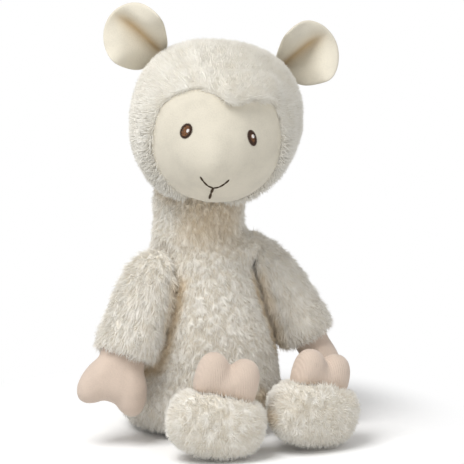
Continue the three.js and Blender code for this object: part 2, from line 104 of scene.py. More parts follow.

# Painted shade: darker tints of the pile in the creases round the limbs, under the head and under the chin
NEARNESS_SPAN = (3 * MM, 10 * MM)
RIM_INNER = (2 * MM, 5 * MM)
RIM_OUTER = (5 * MM, 11 * MM)
RIM_PAINTED_SHADE = 0.7
RIM_FADE = 0.85
NECK_PAINTED_SHADE = 0.45
SLEEVE_PAINTED_SHADE = 0.5
UNDER_CHIN = np.array((-0.2, -0.98, 0))
CHIN_SPAN = (-40 * MM, -12 * MM)
CHIN_FACING = (0.5, 1)

# Shoulders, where the sleeves are sewn to the torso
SHOULDER_SPREAD = 17 * MM
SHOULDER_SWELL = {"right": 8 * MM, "left": 13 * MM}
SHOULDER_RISE = {"right": 2 * MM, "left": 12 * MM}
SHOULDER_DRAW = {"right": 0.2, "left": 0.7}
SHOULDER_DROP = {"right": 0.0, "left": 12 * MM}
SHOULDER_SPAN = (-8 * MM, 6 * MM)
SHOULDER_TOP = (-20 * MM, 0)
CLEFT_SPAN = (-30 * MM, -16 * MM)
SEAM_SPAN = (6 * MM, 26 * MM)
DRAWN_SPAN = (-26 * MM, -4 * MM)

# Where the coats carry pile
SEAT_COVER = (1 * MM, 4 * MM)
NECK_BARE = (12 * MM, 20 * MM)
NECK_HOLE = (26 * MM, 31 * MM)
HOOD_COVER = (0.4 * MM, 1.2 * MM)
CUFF_COVER = (0.5 * MM, 2 * MM)
SOLE_COVER = (0.5 * MM, 3 * MM)

# Hood: its rolled edge, the gathers beside the face and the fringe over the brow
BROW = (8 * MM, 20 * MM)
OPENING_EDGE = (1 * MM, 4 * MM)
FRINGE_INNER = (-5 * MM, 3 * MM)
FRINGE_OUTER = (30 * MM, 42 * MM)
FRINGE_SWEEP = (2 * MM, 20 * MM)
FRINGE_DROP = 1.2 * MM
FRINGE_RISE = 5 * MM
FRINGE_OUT = 4 * MM
HOOD_UNDER = (0.3 * MM, 1.5 * MM)
HOOD_TUCK = 4 * MM
HOOD_ROLL = 2.4 * MM
HOOD_DROOP = np.array((0, 0, -0.5))
ROLL_INNER = (0.3 * MM, 3 * MM)
ROLL_OUTER = (6 * MM, 22 * MM)
BESIDE_FACE = (5 * MM, 25 * MM)
GATHERS = 64
GATHER_HEIGHT = 0.5 * MM
GATHER_SPAN = (3 * MM, 12 * MM)
GATHER_WANDER = 2
GATHER_WAVES = 7
EDGE_SPAN = (4 * MM, 16 * MM)
EDGE_LONGER = 0.5

# Feet
FOOT_WIDENING = 0.08
FOOT_SPAN = (8 * MM, 26 * MM)
FOOT_HEART = 0.6
FOOT_DROOP = np.array((0, 0, -0.3))

# Face and its embroidery
FACE_LAP = 2 * MM
FACE_EDGE = (0.5 * MM, 7 * MM)
FACE_SEAM = 1.2 * MM
FACE_TUCK = (1 * MM, 5 * MM)
FACE_TUCK_DEPTH = 5 * MM
SEAT_SEARCH = 0.1
EYE_WIDENING = {"right": 1.0, "left": 0.92}
# The toy's left eye gets less iris and a wider dark rim: painted shade on the eye that lies in shade
IRIS_SHARE = {"right": 0.62, "left": 0.38}
RIM_STITCHES = 26
RIM_REACH = 0.94
RIM_LIFT = 0.35 * MM
RIM_THREAD = 0.55 * MM
IRIS_ROWS = 9
IRIS_LIFT = 0.3 * MM
IRIS_SLOPE = 0.4 * MM
IRIS_THREAD = 0.58 * MM
GLINT_ROWS = ((-0.75 * MM, 0.6 * MM), (0, 0.95 * MM), (0.75 * MM, 0.6 * MM))
GLINT_LIFT = 0.9 * MM
GLINT_THREAD = 0.5 * MM
MOUTH_JOIN = 0.575
SMILE = ((-1, 1), (-0.76, 0.6), (-0.4, 0.17), (0, 0))
SMILE_THREAD = 0.8 * MM
STEM_LEAN = (0, -0.08, -0.1)
STEM_LONGER = 1.15
STEM_THREAD = 1 * MM

# Ears: the fold's line, its depth, the roll beside it and the base sunk in the pile
EAR_CREASE_OFFSET = 2 * MM
EAR_CREASE_SLANT = 0.25
EAR_CREASE_BEND = 9.5
EAR_CREASE_WIDTH = 4 * MM
EAR_CREASE_DEPTH = 3.6 * MM
EAR_CREASE_SHARPNESS = 1.5
EAR_CREASE_START = (-0.1, 0.2)
EAR_CREASE_END = (0.5, 0.85)
EAR_ROLL = 1.5 * MM
EAR_ROLL_ASIDE = 2.2
EAR_ROLL_START = (0, 0.3)
EAR_ROLL_END = (0.6, 1)
EAR_BASE = (0, 0.6)
EAR_SINK = 9 * MM
EAR_BASE_WIDENING = 0.1
EAR_BASE_NARROWING = 0.35

# Stage: lamps by azimuth and elevation in degrees, distance and size in metres
KEY_ANGLES = (-68, 55)
KEY_DISTANCE = 1.6
KEY_SIZE = 0.8
FILL_ANGLES = (15, 22)
FILL_DISTANCE = 1.8
FILL_SIZE = 1.2
SENSOR_WIDTH = 36
FLOOR_SIZE = 3
FLOOR_MATT = (0.86, 0.86, 0.86, 1)
FLOOR_NEAR = (1.15, 1.15, 1.15, 1)
FLOOR_FADE = (0.135, 0.2)


def linear(red, green, blue):
    """A colour of 0 to 255 as the linear values that shaders take"""
    shares = (value / 255 for value in (red, green, blue))
    return tuple(s / 12.92 if s <= 0.04045 else ((s + 0.055) / 1.055) ** 2.4 for s in shares)


def colour(name, description, red, green, blue):
    return FloatVectorProperty(
        name=name, description=description, default=linear(red, green, blue), subtype="COLOR", min=0, max=1
    )


def length(name, description, millimetres):
    return FloatProperty(
        name=name,
        description=description,
        default=millimetres * MM,
        unit="LENGTH",
        subtype="DISTANCE",
        min=0,
    )


class LlamaPile(bpy.types.PropertyGroup):
    """Pile of the fur fabrics"""

    depth: length("Pile Depth", "How far the pile stands off its cloth", 3)
    torso: length("Torso Tufts", "Length of the torso's tufts", 4)
    sleeve: length("Sleeve Tufts", "Length of the sleeves' tufts", 5.5)
    foot: length("Foot Tufts", "Length of the tufts on legs and feet", 3.6)
    hood: length("Hood Tufts", "Length of the hood's tufts", 3.2)
    tail: length("Tail Tufts", "Length of the tail's tufts", 5)
    tip: colour("Tip", "Colour of the pile at its tips", 254, 252, 247)
    # Root colour: darker than the tips as painted shade deep in the pile
    root: colour("Root", "Colour of the pile at its roots", 238, 229, 212)
    # Painted shade: the tint laid on the pile in creases, under the head and under the chin
    shade: colour("Shaded Pile", "Tint of the pile where it lies pressed against a neighbour", 240, 222, 192)
    hood_tip: colour("Hood Tip", "Colour of the hood's pile at its tips", 247, 245, 239)
    # Hood's root colour: darker than its tips as painted shade deep in the pile
    hood_root: colour("Hood Root", "Colour of the hood's pile at its roots", 233, 227, 214)
    seed: IntProperty(name="Seed", description="Seed of the tufts' places", default=7, min=0)


class LlamaVelour(bpy.types.PropertyGroup):
    """Velour, thread and filling"""

    face: colour("Face", "Velour of the face", 226, 219, 202)
    ear: colour("Ears", "Velour of the ears", 228, 221, 204)
    # Painted shade laid into the ears' folds
    ear_fold: colour("Ear Folds", "Tint of the velour deep in the ears' folds", 234, 214, 184)
    hoof: colour("Hoofs", "Velour of hands and toes", 221, 202, 186)
    dark_thread: colour("Dark Thread", "Thread of the eyes' rims and the mouth", 66, 45, 33)
    iris_thread: colour("Iris Thread", "Thread inside the eyes", 122, 82, 52)
    white_thread: colour("White Thread", "Thread of the glints", 246, 240, 236)
    fibre: colour("Fibre", "Stuffing", 240, 239, 236)
    bag: colour("Pellet Bags", "Cotton of the pellet bags", 207, 201, 189)
    nap: length("Nap", "Width of one grain of the velour's nap", 0.9)
    face_wall: length("Face Cloth", "Thickness of the face's velour", 2)


class LlamaStage(bpy.types.PropertyGroup):
    """Camera, lights and floor"""

    azimuth: FloatProperty(name="Azimuth", description="Camera's way round", default=-30, min=-180, max=180)
    elevation: FloatProperty(name="Elevation", description="Camera's height", default=8.5, min=-90, max=90)
    distance: length("Distance", "From the camera to what it looks at", 1300)
    target: FloatVectorProperty(
        name="Target",
        description="Point that the camera looks at",
        default=(0.0198, -0.0115, 0.137),
        unit="LENGTH",
    )
    lens: FloatProperty(name="Lens", description="Focal length in millimetres", default=145.3, min=1)
    sky: FloatProperty(name="Sky", description="Strength of the light from all round", default=0.43, min=0)
    key: FloatProperty(name="Key", description="Power of the large lamp in watts", default=17.5, min=0)
    fill: FloatProperty(name="Fill", description="Power of the second lamp in watts", default=3, min=0)


def settings(context, group):
    return getattr(context.scene, group)


def add_node(tree, kind, values=(), inputs=()):
    """Adds a node with its own values, and wires or sets its inputs"""
    made = tree.nodes.new(kind)
    for name, value in dict(values).items():
        setattr(made, name, value)
    for name, value in dict(inputs).items():
        if isinstance(value, bpy.types.NodeSocket):
            tree.links.new(value, made.inputs[name])
        else:
            made.inputs[name].default_value = value
    return made


def new_material(title, roughness, sheen):
    material = bpy.data.materials.new(title)
    material.use_nodes = True
    shader = material.node_tree.nodes["Principled BSDF"]
    shader.inputs["Roughness"].default_value = roughness
    shader.inputs["Sheen Weight"].default_value = sheen
    shader.inputs["Specular IOR Level"].default_value = SPECULAR
    return material, material.node_tree, shader


def ramp(tree, source, *stops):
    """A colour ramp through (position, colour) stops"""
    made = add_node(tree, "ShaderNodeValToRGB", inputs={"Fac": source})
    elements = made.color_ramp.elements
    while len(elements) < len(stops):
        elements.new(0.5)
    for element, (position, shade) in zip(elements, stops):
        element.position = position
        element.color = (*shade, 1)
    return made.outputs["Color"]


def scaled(shade, factor):
    return tuple(min(value * factor, 1) for value in shade)


def multiplied(tree, first, second):
    values = {"data_type": "RGBA", "blend_type": "MULTIPLY"}
    return add_node(tree, "ShaderNodeMix", values, {0: 1.0, 6: first, 7: second}).outputs[2]


def with_painted_shade(tree, shade, tint):
    """A colour multiplied by a tint, as painted shade where the piece's painted-shade attribute is set"""
    pressed = add_node(tree, "ShaderNodeAttribute", {"attribute_name": PAINTED_SHADE}).outputs["Fac"]
    return multiplied(tree, shade, ramp(tree, pressed, (0, WHITE), (1, tint)))


def own_place(tree):
    return add_node(tree, "ShaderNodeTexCoord").outputs["Object"]


def own_noise(tree, size, detail):
    """Noise in the piece's own space, of grains of a size"""
    inputs = {"Vector": own_place(tree), "Scale": 1 / size, "Detail": detail}
    return add_node(tree, "ShaderNodeTexNoise", inputs=inputs).outputs["Fac"]


def add_bump(tree, shader, height, strength, distance):
    inputs = {"Height": height, "Strength": strength, "Distance": distance}
    made = add_node(tree, "ShaderNodeBump", inputs=inputs)
    tree.links.new(made.outputs["Normal"], shader.inputs["Normal"])


def fur_material(title, root, tip, shade):
    """Pile: darker at its roots as painted shade, each tuft a little lighter or darker, with painted shade in
    creases
    """
    material, tree, shader = new_material(title, roughness=0.9, sheen=0.2)
    place = add_node(tree, "ShaderNodeUVMap", {"uv_map": TUFT_MAP}).outputs["UV"]
    parts = add_node(tree, "ShaderNodeSeparateXYZ", inputs={"Vector": place}).outputs
    middle = tuple((a + 3 * b) / 4 for a, b in zip(root, tip))
    along = ramp(tree, parts["Y"], (0, root), (0.45, middle), (1, tip))
    each = ramp(tree, parts["X"], (0, DARK_TUFT), (0.5, MIDDLE_TUFT), (1, WHITE))
    tree.links.new(with_painted_shade(tree, multiplied(tree, along, each), shade), shader.inputs["Base Color"])
    return material


def velour_material(title, shade, nap, ribs=0.0, fold=WHITE):
    """Short nap with soft mottling, knitted ribs where the cloth shows them, and painted shade in its folds"""
    material, tree, shader = new_material(title, roughness=0.95, sheen=0.35)
    grain = own_noise(tree, nap, 2)
    mottle = own_noise(tree, nap * MOTTLE_SIZE, 3)
    tone = add_node(tree, "ShaderNodeMix", {"data_type": "FLOAT"}, {0: 0.35, 2: mottle, 3: grain}).outputs[0]
    colours = ramp(tree, tone, (0.3, scaled(shade, 0.9)), (0.5, shade), (0.72, scaled(shade, 1.06)))
    tree.links.new(with_painted_shade(tree, colours, fold), shader.inputs["Base Color"])
    height = grain
    if ribs:
        inputs = {"Vector": own_place(tree), "Scale": RIB_SCALE / ribs, "Distortion": 1}
        wave = add_node(tree, "ShaderNodeTexWave", {"bands_direction": "X"}, inputs).outputs["Fac"]
        height = add_node(tree, "ShaderNodeMath", {"operation": "ADD"}, {0: grain, 1: wave}).outputs[0]
    add_bump(tree, shader, height, 0.5, nap * 0.4)
    return material


def thread_material(title, shade, twist):
    """Rayon thread: streaks along its fibres and a slight gloss"""
    material, tree, shader = new_material(title, roughness=0.5, sheen=0.1)
    streaks = own_noise(tree, twist, 3)
    colours = ramp(tree, streaks, (0.3, scaled(shade, 0.7)), (0.55, shade), (0.75, scaled(shade, 1.35)))
    tree.links.new(colours, shader.inputs["Base Color"])
    add_bump(tree, shader, streaks, 0.4, twist * 0.3)
    return material


def filling_material(title, shade, grain):
    """Fibre or bag cloth, mottled at the size of its strands or pellets"""
    material, tree, shader = new_material(title, roughness=0.95, sheen=0.2)
    strands = own_noise(tree, grain, 4)
    colours = ramp(tree, strands, (0.3, scaled(shade, 0.85)), (0.7, scaled(shade, 1.05)))
    tree.links.new(colours, shader.inputs["Base Color"])
    return material


def new_piece(title, form):
    """Turns a bmesh into an object of the scene"""
    mesh = bpy.data.meshes.new(title)
    form.to_mesh(mesh)
    form.free()
    piece = bpy.data.objects.new(title, mesh)
    bpy.context.scene.collection.objects.link(piece)
    return piece


def merged_copy(title, *nodes):
    """One object from copies of CAD nodes"""
    form = bmesh.new()
    for node in nodes:
        form.from_mesh(frame["nodes"][node].data)
    bmesh.ops.remove_doubles(form, verts=form.verts, dist=MERGE)
    return new_piece(title, form)


def apply_modifiers(piece):
    depsgraph = bpy.context.evaluated_depsgraph_get()
    mesh = bpy.data.meshes.new_from_object(piece.evaluated_get(depsgraph))
    piece.modifiers.clear()
    worn = piece.data
    piece.data = mesh
    bpy.data.meshes.remove(worn)
    mesh.name = piece.name


def vectors_of(mesh, name):
    found = np.empty(len(mesh.vertices) * 3, np.float32)
    mesh.vertices.foreach_get(name, found)
    return found.reshape(-1, 3).astype(float)


def points_of(mesh):
    return vectors_of(mesh, "co")


def normals_of(mesh):
    return vectors_of(mesh, "normal")


def move_points(mesh, places):
    mesh.vertices.foreach_set("co", places.astype(np.float32).ravel())
    mesh.update()


def round_form(piece, voxel, passes, offset):
    """Rounds a faceted copy off, then moves its surface by an offset"""
    remesh = piece.modifiers.new("Even", "REMESH")
    remesh.mode = "VOXEL"
    remesh.voxel_size = voxel
    soften = piece.modifiers.new("Soften", "SMOOTH")
    soften.factor = 0.5
    soften.iterations = passes
    shift = piece.modifiers.new("Offset", "DISPLACE")
    shift.mid_level = 0
    shift.strength = offset
    apply_modifiers(piece)


def rounded_quads(piece):
    """Pairs a thin copy's triangles up and rounds them off, swelled back to its own size"""
    form = bmesh.new()
    form.from_mesh(piece.data)
    bmesh.ops.join_triangles(
        form, faces=form.faces, angle_face_threshold=math.pi, angle_shape_threshold=THIN_CORNER
    )
    form.to_mesh(piece.data)
    form.free()
    subdivided(piece, THIN_LEVELS)
    swell = piece.modifiers.new("Swell", "DISPLACE")
    swell.mid_level = 0
    swell.strength = THIN_SWELL
    soften = piece.modifiers.new("Soften", "SMOOTH")
    soften.iterations = THIN_PASSES
    apply_modifiers(piece)


def stuff(piece, cap):
    """Blows a sewn skin up as its stuffing does, no point moving further than the cap"""
    scene = bpy.context.scene
    rest = points_of(piece.data)
    cloth = piece.modifiers.new("Stuffing", "CLOTH")
    cloth.settings.use_pressure = True
    cloth.settings.uniform_pressure_force = STUFFING_PRESSURE
    cloth.settings.effector_weights.gravity = 0
    cloth.point_cache.frame_start = 1
    cloth.point_cache.frame_end = STUFFING_FRAMES
    for step in range(1, STUFFING_FRAMES + 1):
        scene.frame_set(step)
    apply_modifiers(piece)
    scene.frame_set(1)
    moved = points_of(piece.data) - rest
    far = np.linalg.norm(moved, axis=1, keepdims=True)
    move_points(piece.data, rest + moved * np.minimum(1, cap / np.maximum(far, 1e-9)))


def subdivided(piece, levels=1):
    finer = piece.modifiers.new("Finer", "SUBSURF")
    finer.levels = levels
    finer.render_levels = levels
    apply_modifiers(piece)


def wear(piece, material):
    piece.data.materials.clear()
    piece.data.materials.append(material)


def fit(piece, body, slot, *nodes):
    """Fixes a piece to its body and lets it stand for its CAD nodes"""
    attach(piece, body)
    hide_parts(*nodes)


@dataclass
class Pile:
    """How tufts stand on a cloth; sizes in metres, the seed counted from the setting's own"""

    taper: float
    lump: float
    lump_size: float
    crimp: float
    crimped: float
    draw: float
    lift: float
    lean: float
    ruffle: float
    ruffle_size: float
    stray: float
    soft: float
    seed: int


TORSO_PILE = Pile(
    taper=0.08, lump=1.3 * MM, lump_size=5 * MM, crimp=5 * MM, crimped=0.55, draw=0.8,
    lift=0.4, lean=0.5, ruffle=0.3, ruffle_size=4 * MM, stray=0.1, soft=5, seed=0,
)
HOOD_PILE = Pile(
    taper=0.1, lump=0.6 * MM, lump_size=9 * MM, crimp=6 * MM, crimped=0.1, draw=1,
    lift=0.5, lean=0.4, ruffle=0.14, ruffle_size=9 * MM, stray=0.12, soft=9, seed=10,
)
SLEEVE_PILE = Pile(
    taper=0.06, lump=1.3 * MM, lump_size=7 * MM, crimp=6 * MM, crimped=0.35, draw=0.6,
    lift=0.45, lean=0.7, ruffle=0.4, ruffle_size=6 * MM, stray=0.2, soft=5, seed=20,
)
LEG_PILE = Pile(
    taper=0.09, lump=1.3 * MM, lump_size=7 * MM, crimp=6 * MM, crimped=0.3, draw=0.8,
    lift=0.6, lean=0.25, ruffle=0.35, ruffle_size=5 * MM, stray=0.15, soft=7, seed=30,
)
TAIL_PILE = Pile(
    taper=0.08, lump=1.2 * MM, lump_size=5 * MM, crimp=5 * MM, crimped=0.4, draw=0.7,
    lift=0.4, lean=0.6, ruffle=0.3, ruffle_size=4 * MM, stray=0.15, soft=5, seed=40,
)


def seeded(pile, seed):
    return replace(pile, seed=pile.seed + seed)


def tuft(title, pile):
    """A closed tapered tuft of unit length, its map running from root to tip"""
    form = bmesh.new()
    bmesh.ops.create_cone(form, cap_ends=True, segments=3, radius1=pile.taper, radius2=0, depth=1)
    bmesh.ops.translate(form, verts=form.verts, vec=(0, 0, 0.5))
    along = form.loops.layers.uv.new("along")
    for face in form.faces:
        for corner in face.loops:
            corner[along].uv = (corner.vert.co.x / pile.taper, corner.vert.co.z)
    mesh = bpy.data.meshes.new(title)
    form.to_mesh(mesh)
    form.free()
    return bpy.data.objects.new(title, mesh)


def pile_tree(title, pile, kind, material):
    """Lumps a skin and plants tufts on it: combed along its attributes, ruffled and astray"""
    tree = bpy.data.node_groups.new(title, "GeometryNodeTree")
    tree.interface.new_socket("Skin", in_out="INPUT", socket_type="NodeSocketGeometry")
    tree.interface.new_socket("Coat", in_out="OUTPUT", socket_type="NodeSocketGeometry")
    add = partial(add_node, tree)

    def vector(operation, first, second=None, scale=None):
        inputs = {0: first}
        if second is not None:
            inputs[1] = second
        if scale is not None:
            inputs["Scale"] = scale
        return add("ShaderNodeVectorMath", {"operation": operation}, inputs).outputs[0]

    def number(operation, *values):
        return add("ShaderNodeMath", {"operation": operation}, dict(enumerate(values))).outputs[0]

    def named(kind, name):
        return add("GeometryNodeInputNamedAttribute", {"data_type": kind}, {"Name": name}).outputs[0]

    def stored(geometry, kind, domain, name, value):
        return add(
            "GeometryNodeStoreNamedAttribute",
            {"data_type": kind, "domain": domain},
            {"Geometry": geometry, "Name": name, "Value": value},
        ).outputs[0]

    def chance(kind, low, high, offset):
        first, second, out = {"FLOAT_VECTOR": (0, 1, 0), "FLOAT": (2, 3, 1)}[kind]
        return add(
            "FunctionNodeRandomValue", {"data_type": kind}, {first: low, second: high, 8: pile.seed + offset}
        ).outputs[out]

    skin = add("NodeGroupInput").outputs[0]
    place = add("GeometryNodeInputPosition").outputs[0]
    own_normal = add("GeometryNodeInputNormal").outputs[0]
    cover = named("FLOAT", "pile_cover")
    lumps = add("ShaderNodeTexNoise", inputs={"Vector": place, "Scale": 1 / pile.lump_size, "Detail": 1.5})
    drawn = vector("MULTIPLY", place, (1, 1, pile.draw))
    crimps = add("ShaderNodeTexNoise", inputs={"Vector": drawn, "Scale": 1 / pile.crimp, "Detail": 1})
    crimps = number("ABSOLUTE", number("MULTIPLY_ADD", crimps.outputs["Fac"], CRIMP_GAIN, -CRIMP_GAIN / 2))
    mixed = {0: pile.crimped, 2: lumps.outputs["Fac"], 3: crimps}
    mixed = add("ShaderNodeMix", {"data_type": "FLOAT"}, mixed).outputs[0]
    limits = {"From Min": LUMP_SPAN[0], "From Max": LUMP_SPAN[1], "To Min": 0.0, "To Max": 1.0}
    high = add("ShaderNodeMapRange", inputs={"Value": mixed, **limits}).outputs["Result"]
    high = number("MULTIPLY", high, cover)
    skin = stored(skin, "FLOAT", "POINT", "pile_high", high)
    rise = number("MULTIPLY", named("FLOAT", "pile_high"), pile.lump)
    lift = vector("SCALE", own_normal, scale=rise)
    skin = add("GeometryNodeSetPosition", inputs={"Geometry": skin, "Offset": lift}).outputs[0]
    skin = stored(skin, "FLOAT_VECTOR", "POINT", "pile_soft", own_normal)

    planted = add(
        "GeometryNodeDistributePointsOnFaces",
        {"distribute_method": "POISSON"},
        {
            "Mesh": skin,
            "Distance Min": TUFT_SPACING,
            "Density Max": TUFT_PACKING / TUFT_SPACING**2,
            "Density Factor": cover,
            "Seed": pile.seed,
        },
    )
    comb = named("FLOAT_VECTOR", "pile_comb")
    noise = add("ShaderNodeTexNoise", inputs={"Vector": place, "Scale": 1 / pile.ruffle_size, "Detail": 1})
    ruffle = vector("SUBTRACT", noise.outputs["Color"], (0.5, 0.5, 0.5))
    heading = vector("SCALE", planted.outputs["Normal"], scale=pile.lift)
    for part, share in (
        (comb, pile.lean),
        (ruffle, RUFFLE_GAIN * pile.ruffle),
        (chance("FLOAT_VECTOR", (-1, -1, -1), (1, 1, 1), 1), pile.stray),
    ):
        heading = vector("ADD", heading, vector("SCALE", part, scale=share))
    upright = add("FunctionNodeAlignRotationToVector", {"axis": "Z"}, {"Vector": heading}).outputs[0]
    source = add("GeometryNodeObjectInfo", inputs={"Object": kind}).outputs["Geometry"]
    tall = number("MULTIPLY", named("FLOAT", "pile_length"), chance("FLOAT", *TUFT_LENGTHS, 2))
    tufts = add(
        "GeometryNodeInstanceOnPoints",
        inputs={"Points": planted.outputs["Points"], "Instance": source, "Rotation": upright, "Scale": tall},
    ).outputs[0]
    tufts = stored(tufts, "FLOAT", "INSTANCE", "shade", chance("FLOAT", *TUFT_SHADES, 4))
    tufts = add("GeometryNodeRealizeInstances", inputs={"Geometry": tufts}).outputs[0]
    parts = add("ShaderNodeSeparateXYZ", inputs={"Vector": named("FLOAT_VECTOR", "along")}).outputs
    tone = number("MULTIPLY_ADD", parts["X"], 0.02, named("FLOAT", "shade"))
    # Painted shade: the ramp rank is lower near a tuft's root and low in the lumps, so darker there
    rank = number("MULTIPLY_ADD", named("FLOAT", "pile_high"), RANK_ON_LUMP, RANK_AT_ROOT)
    rank = number("MULTIPLY_ADD", parts["Y"], RANK_ALONG, rank)
    flat = add("ShaderNodeCombineXYZ", inputs={"X": tone, "Y": rank}).outputs[0]
    tufts = stored(tufts, "FLOAT2", "CORNER", TUFT_MAP, flat)
    mottle = number("MULTIPLY_ADD", noise.outputs["Fac"], 0.8, 0.1)
    # Painted shade: the cloth between the tufts is darker low in its lumps
    bare = number("MULTIPLY_ADD", named("FLOAT", "pile_high"), 0.5, 0.1)
    flat = add("ShaderNodeCombineXYZ", inputs={"X": mottle, "Y": bare}).outputs[0]
    skin = stored(skin, "FLOAT2", "CORNER", TUFT_MAP, flat)
    tufts = add("GeometryNodeSetMaterial", inputs={"Geometry": tufts, "Material": material}).outputs[0]
    both = add("GeometryNodeJoinGeometry", inputs={0: skin})
    tree.links.new(tufts, both.inputs[0])
    soft = vector("ADD", vector("SCALE", named("FLOAT_VECTOR", "pile_soft"), scale=pile.soft), own_normal)
    done = add(
        "GeometryNodeSetMeshNormal",
        {"mode": "FREE", "domain": "POINT"},
        {"Mesh": both.outputs[0], "Custom Normal": soft},
    ).outputs[0]
    add("NodeGroupOutput", inputs={0: done})
    return tree


def put_attribute(mesh, name, kind, values):
    made = mesh.attributes.new(name, kind, "POINT")
    key = "vector" if kind == "FLOAT_VECTOR" else "value"
    made.data.foreach_set(key, np.asarray(values, np.float32).ravel())


def tangent(directions, normals):
    """Directions laid flat on a surface, each of unit length"""
    flat = directions - normals * np.sum(directions * normals, axis=1, keepdims=True)
    return flat / np.maximum(np.linalg.norm(flat, axis=1, keepdims=True), 1e-6)


def ease(values, low, high):
    """A smooth step from 0 at the low value to 1 at the high one"""
    share = np.clip((values - low) / (high - low), 0, 1)
    return share * share * (3 - 2 * share)


def ease_from(values, origin, span):
    return ease(values, origin + span[0], origin + span[1])


def nearest_on(node, places):
    """The point of a CAD node's surface that lies nearest to each place"""
    tree = tree_of(frame["nodes"][node])
    return np.array([tree.find_nearest(Vector(place))[0] for place in places])


def distance_to(node, places):
    return np.linalg.norm(nearest_on(node, places) - places, axis=1)


def tree_of(piece):
    form = bmesh.new()
    form.from_mesh(piece.data)
    tree = BVHTree.FromBMesh(form)
    form.free()
    return tree


def grow_pile(piece, pile, material, cover, long, comb, pressed=0.0):
    """Plants the pile and leaves one mesh of cloth and tufts, none of it below the floor"""
    mesh = piece.data
    normals = normals_of(mesh)
    put_attribute(mesh, "pile_cover", "FLOAT", cover)
    put_attribute(mesh, "pile_length", "FLOAT", np.broadcast_to(long, len(normals)))
    put_attribute(mesh, "pile_comb", "FLOAT_VECTOR", tangent(comb, normals))
    # How much painted shade each point takes
    put_attribute(mesh, PAINTED_SHADE, "FLOAT", np.broadcast_to(pressed, len(normals)))
    kind = tuft(f"{piece.name}_tuft", pile)
    planted = piece.modifiers.new("Pile", "NODES")
    planted.node_group = pile_tree(f"{piece.name}_pile", pile, kind, material)
    apply_modifiers(piece)
    for name in ("pile_cover", "pile_length", "pile_comb", "pile_soft", "pile_high", "along", "shade"):
        left = piece.data.attributes.get(name)
        if left:
            piece.data.attributes.remove(left)
    places = points_of(piece.data)
    places[:, 2] = np.maximum(places[:, 2], FLOOR_CLEAR)
    move_points(piece.data, places)
    bpy.data.objects.remove(kind)


def middle_of(node):
    low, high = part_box(node)
    return (low + high) / 2


def joint(name):
    return next(found for found in frame["joints"] if found["name"] == name)


def long_fur(fur):
    return bpy.data.materials.get("long_fur") or fur_material("long_fur", fur.root, fur.tip, fur.shade)


def gap_to(places, *nodes):
    """How far the nearest of some CAD nodes lies from each place"""
    return np.min([distance_to(node, places) for node in nodes], axis=0)


def nearness_to(places, *nodes):
    """How closely neighbours lie against each place, from 0 to 1"""
    return 1 - ease(gap_to(places, *nodes), *NEARNESS_SPAN)


def shoulder_share(side, places):
    """How much of a shoulder each place is: 0 below the arm's root, 1 above it"""
    level = joint(f"{side}_arm_lift")["pos_m"][2]
    neck = joint("head_nod")["pos_m"][2]
    return ease_from(places[:, 2], level, SHOULDER_SPAN) * (1 - ease_from(places[:, 2], neck, SHOULDER_TOP))


def above_cleft(side, places):
    """How much each place lies above the cleft between arm and torso, from 0 to 1"""
    level = joint(f"{side}_arm_lift")["pos_m"][2]
    return ease_from(places[:, 2], level, CLEFT_SPAN)


def skin_of(title, nodes, material, voxel, passes, depth, cap):
    """A rounded, stuffed and fine skin of CAD nodes, set in by the depth of its pile"""
    skin = merged_copy(title, *nodes)
    round_form(skin, voxel, passes, -depth)
    stuff(skin, cap)
    subdivided(skin, SKIN_LEVELS)
    wear(skin, material)
    return skin


class LLAMA_OT_torso(bpy.types.Operator):
    """Makes the torso's coat of long wavy pile"""

    bl_idname = "llama.torso"
    bl_label = "Torso"

    def execute(self, context):
        fur = settings(context, "llama_pile")
        nodes = ("torso_fur", "torso_stuffing", "seat_pellet_bag", "neck_ball")
        material = long_fur(fur)
        coat = skin_of("torso_coat", nodes, material, voxel=4 * MM, passes=12, depth=fur.depth, cap=2 * MM)
        places, normals = points_of(coat.data), normals_of(coat.data)
        for side in SIDES:
            near = distance_to(f"{side}_arm_fur", places) / SHOULDER_SPREAD
            swell = SHOULDER_SWELL[side] * np.exp(-near * near)
            swell *= shoulder_share(side, places + np.array((0, 0, SHOULDER_DROP[side])))
            places += normals * swell[:, None]
        move_points(coat.data, places)
        neck = joint("head_nod")["pos_m"][2]
        height = places[:, 2]
        cover = ease(height, *SEAT_COVER) * (1 - ease_from(height, neck, NECK_BARE))
        # Painted shade: a ring of darker pile round the arms and legs, weaker above the right arm's cleft
        gap = gap_to(places, *(f"{side}_{limb}_fur" for side in SIDES for limb in ("arm", "leg")))
        rim = ease(gap, *RIM_INNER) * (1 - ease(gap, *RIM_OUTER))
        rim *= 1 - RIM_FADE * above_cleft("right", places)
        # Painted shadow under the chin, on the front that faces UNDER_CHIN, and painted shade where the hood lies
        # near
        chin = ease_from(height, neck, CHIN_SPAN) * ease(normals @ UNDER_CHIN, *CHIN_FACING)
        pressed = np.maximum(RIM_PAINTED_SHADE * rim, NECK_PAINTED_SHADE * nearness_to(places, "head_hood"))
        pressed = np.maximum(pressed, NECK_PAINTED_SHADE * chin)
        down = np.tile((0.0, 0.0, -1.0), (len(places), 1))
        grow_pile(coat, seeded(TORSO_PILE, fur.seed), material, cover, fur.torso, down, pressed)
        fit(coat, "torso", "fur", "torso_fur")
        return {"FINISHED"}


def face_place(places):
    """How far each place lies to the toy's left of the face's middle, and how far above it"""
    across, _, up = (np.array(axis) for axis in face_axes())
    offset = places - np.array(middle_of("face_panel"))
    return offset @ across, offset @ up


def fringe_share(places):
    """How much of the hood's fringe each place is, from 0 to 1"""
    aside, above = face_place(places)
    return ease(aside, *FRINGE_INNER) * (1 - ease(aside, *FRINGE_OUTER)) * ease(above, *BROW)


